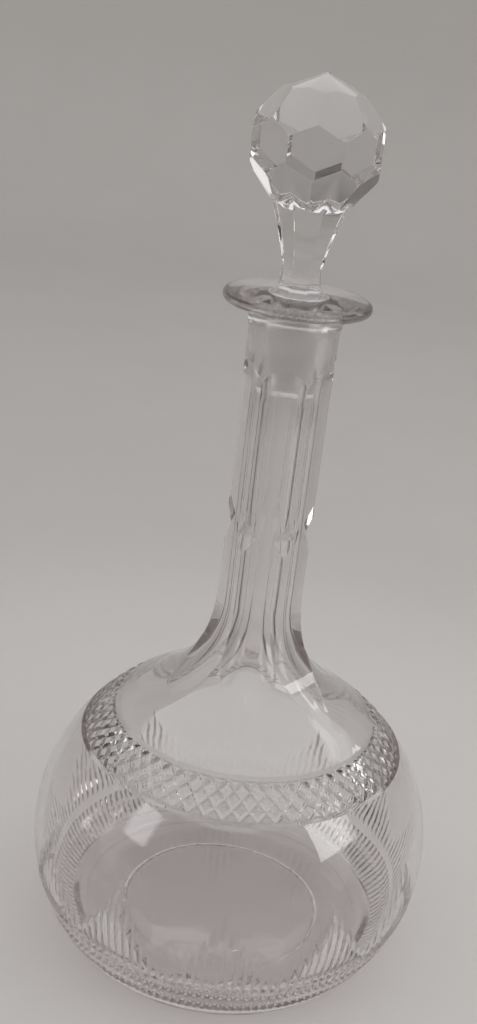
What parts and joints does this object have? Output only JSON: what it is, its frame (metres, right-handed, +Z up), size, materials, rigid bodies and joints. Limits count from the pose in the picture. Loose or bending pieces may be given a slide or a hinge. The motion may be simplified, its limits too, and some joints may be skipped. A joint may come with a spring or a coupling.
{
  "type": "decanter",
  "caption": "Round clear cut-glass decanter with a tall fluted neck, a flat lip and a ground-in faceted ball stopper that lifts out.",
  "frame": {"origin": "middle of the base, in the plane that the decanter stands on", "axes": "+Z up along the axis of the bottle and the stopper; the pictured side faces -Y"},
  "size_m": [0.15, 0.15, 0.3199],
  "materials": {
    "clear_glass": "clear blown glass with a faint warm grey tint, cut and polished, a little worn at the lip and foot",
    "stopper_glass": "clear glass ground into flat polished facets, with a matt ground plug"
  },
  "bodies": {
    "bottle": {"bottle": "clear_glass"},
    "stopper": {"stopper": "stopper_glass"}
  },
  "joints": [
    {"name": "stopper_lift", "type": "slide", "parent": "bottle", "child": "stopper", "axis": [0, 0, 1], "range_m": [0, 0.045]}
  ]
}
